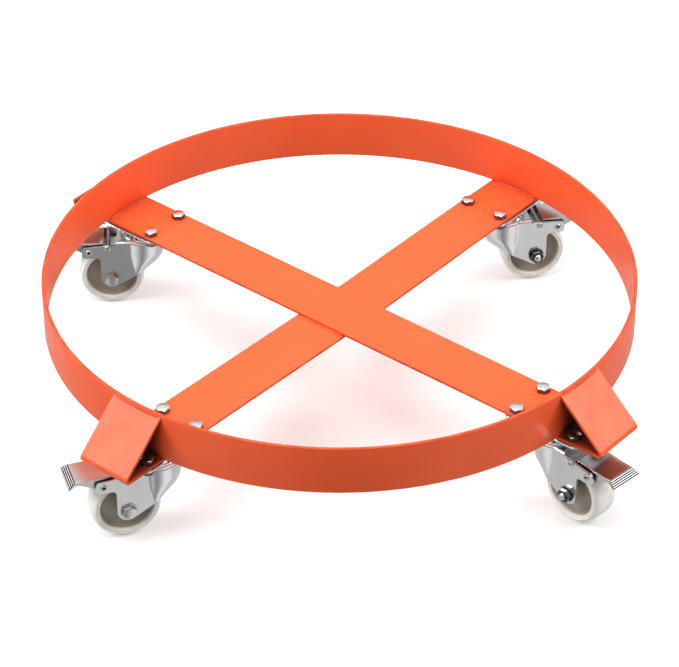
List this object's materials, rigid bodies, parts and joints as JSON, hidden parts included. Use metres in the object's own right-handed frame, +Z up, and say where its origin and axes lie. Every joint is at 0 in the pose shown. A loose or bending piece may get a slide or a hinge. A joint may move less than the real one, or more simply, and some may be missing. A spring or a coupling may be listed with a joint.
{
  "type": "drum dolly",
  "caption": "Round drum dolly: a welded steel ring on crossed flat bars with folded gusset brackets and braked swivel casters.",
  "frame": {"origin": "on the floor, under the centre of the ring", "axes": "+Z up; -Y towards the viewer's side of the dolly; the crossed bars lie on the diagonals"},
  "size_m": [0.618, 0.618, 0.16],
  "materials": {
    "ring_paint": "gloss orange powder coat",
    "upper_bar_paint": "gloss orange powder coat",
    "lower_bar_paint": "gloss orange powder coat",
    "plate_zinc": "bright zinc",
    "kingpin_steel": "turned steel",
    "race_steel": "pressed steel, bright",
    "fork_chrome": "bright nickel plate",
    "core_polymer": "satin taupe moulding",
    "tread_polyurethane": "satin off-white polyurethane",
    "axle_steel": "bright zinc",
    "nut_steel": "bright zinc",
    "pedal_zinc": "bright zinc",
    "pin_steel": "bright zinc",
    "bolt_zinc": "bright zinc"
  },
  "bodies": {
    "frame": {"drum_ring": "ring_paint", "upper_cross_bar": "upper_bar_paint", "lower_cross_bar": "lower_bar_paint", "front_left_top_plate": "plate_zinc", "front_left_kingpin": "kingpin_steel", "front_left_swivel_race": "race_steel", "front_left_mounting_bolt_1": "bolt_zinc", "front_left_mounting_bolt_2": "bolt_zinc", "front_left_mounting_bolt_3": "bolt_zinc", "front_left_mounting_bolt_4": "bolt_zinc", "front_right_top_plate": "plate_zinc", "front_right_kingpin": "kingpin_steel", "front_right_swivel_race": "race_steel", "front_right_mounting_bolt_1": "bolt_zinc", "front_right_mounting_bolt_2": "bolt_zinc", "front_right_mounting_bolt_3": "bolt_zinc", "front_right_mounting_bolt_4": "bolt_zinc", "rear_left_top_plate": "plate_zinc", "rear_left_kingpin": "kingpin_steel", "rear_left_swivel_race": "race_steel", "rear_left_mounting_bolt_1": "bolt_zinc", "rear_left_mounting_bolt_2": "bolt_zinc", "rear_left_mounting_bolt_3": "bolt_zinc", "rear_left_mounting_bolt_4": "bolt_zinc", "rear_right_top_plate": "plate_zinc", "rear_right_kingpin": "kingpin_steel", "rear_right_swivel_race": "race_steel", "rear_right_mounting_bolt_1": "bolt_zinc", "rear_right_mounting_bolt_2": "bolt_zinc", "rear_right_mounting_bolt_3": "bolt_zinc", "rear_right_mounting_bolt_4": "bolt_zinc"},
    "front_left_fork_assembly": {"front_left_fork": "fork_chrome", "front_left_axle_bolt": "axle_steel", "front_left_axle_nut": "nut_steel", "front_left_brake_pin": "pin_steel"},
    "front_left_wheel": {"front_left_wheel_core": "core_polymer", "front_left_tread": "tread_polyurethane"},
    "front_left_pedal": {"front_left_brake_pedal": "pedal_zinc"},
    "front_right_fork_assembly": {"front_right_fork": "fork_chrome", "front_right_axle_bolt": "axle_steel", "front_right_axle_nut": "nut_steel", "front_right_brake_pin": "pin_steel"},
    "front_right_wheel": {"front_right_wheel_core": "core_polymer", "front_right_tread": "tread_polyurethane"},
    "front_right_pedal": {"front_right_brake_pedal": "pedal_zinc"},
    "rear_left_fork_assembly": {"rear_left_fork": "fork_chrome", "rear_left_axle_bolt": "axle_steel", "rear_left_axle_nut": "nut_steel", "rear_left_brake_pin": "pin_steel"},
    "rear_left_wheel": {"rear_left_wheel_core": "core_polymer", "rear_left_tread": "tread_polyurethane"},
    "rear_left_pedal": {"rear_left_brake_pedal": "pedal_zinc"},
    "rear_right_fork_assembly": {"rear_right_fork": "fork_chrome", "rear_right_axle_bolt": "axle_steel", "rear_right_axle_nut": "nut_steel", "rear_right_brake_pin": "pin_steel"},
    "rear_right_wheel": {"rear_right_wheel_core": "core_polymer", "rear_right_tread": "tread_polyurethane"},
    "rear_right_pedal": {"rear_right_brake_pedal": "pedal_zinc"}
  },
  "joints": [
    {"name": "front_left_swivel", "type": "hinge", "parent": "frame", "child": "front_left_fork_assembly", "pos_m": [-0.20117, -0.20117, 0.09], "axis": [0, 0, 1], "continuous": true},
    {"name": "front_left_wheel_spin", "type": "hinge", "parent": "front_left_fork_assembly", "child": "front_left_wheel", "pos_m": [-0.23534, -0.20875, 0.036], "axis": [0.2164, -0.9763, 0], "continuous": true},
    {"name": "front_left_brake", "type": "hinge", "parent": "front_left_fork_assembly", "child": "front_left_pedal", "pos_m": [-0.25877, -0.21394, 0.0702], "axis": [0.2164, -0.9763, 0], "range_deg": [0, 20]},
    {"name": "front_right_swivel", "type": "hinge", "parent": "frame", "child": "front_right_fork_assembly", "pos_m": [0.20117, -0.20117, 0.09], "axis": [0, 0, 1], "continuous": true},
    {"name": "front_right_wheel_spin", "type": "hinge", "parent": "front_right_fork_assembly", "child": "front_right_wheel", "pos_m": [0.22272, -0.22875, 0.036], "axis": [0.788, 0.6157, 0], "continuous": true},
    {"name": "front_right_brake", "type": "hinge", "parent": "front_right_fork_assembly", "child": "front_right_pedal", "pos_m": [0.2375, -0.24766, 0.0702], "axis": [0.788, 0.6157, 0], "range_deg": [0, 20]},
    {"name": "rear_left_swivel", "type": "hinge", "parent": "frame", "child": "rear_left_fork_assembly", "pos_m": [-0.20117, 0.20117, 0.09], "axis": [0, 0, 1], "continuous": true},
    {"name": "rear_left_wheel_spin", "type": "hinge", "parent": "rear_left_fork_assembly", "child": "rear_left_wheel", "pos_m": [-0.23614, 0.2027, 0.036], "axis": [-0.0436, -0.999, 0], "continuous": true},
    {"name": "rear_left_brake", "type": "hinge", "parent": "rear_left_fork_assembly", "child": "rear_left_pedal", "pos_m": [-0.26012, 0.20375, 0.0702], "axis": [-0.0436, -0.999, 0], "range_deg": [0, 20]},
    {"name": "rear_right_swivel", "type": "hinge", "parent": "frame", "child": "rear_right_fork_assembly", "pos_m": [0.20117, 0.20117, 0.09], "axis": [0, 0, 1], "continuous": true},
    {"name": "rear_right_wheel_spin", "type": "hinge", "parent": "rear_right_fork_assembly", "child": "rear_right_wheel", "pos_m": [0.23583, 0.20604, 0.036], "axis": [-0.1392, 0.9903, 0], "continuous": true},
    {"name": "rear_right_brake", "type": "hinge", "parent": "rear_right_fork_assembly", "child": "rear_right_pedal", "pos_m": [0.2596, 0.20938, 0.0702], "axis": [-0.1392, 0.9903, 0], "range_deg": [0, 20]}
  ]
}
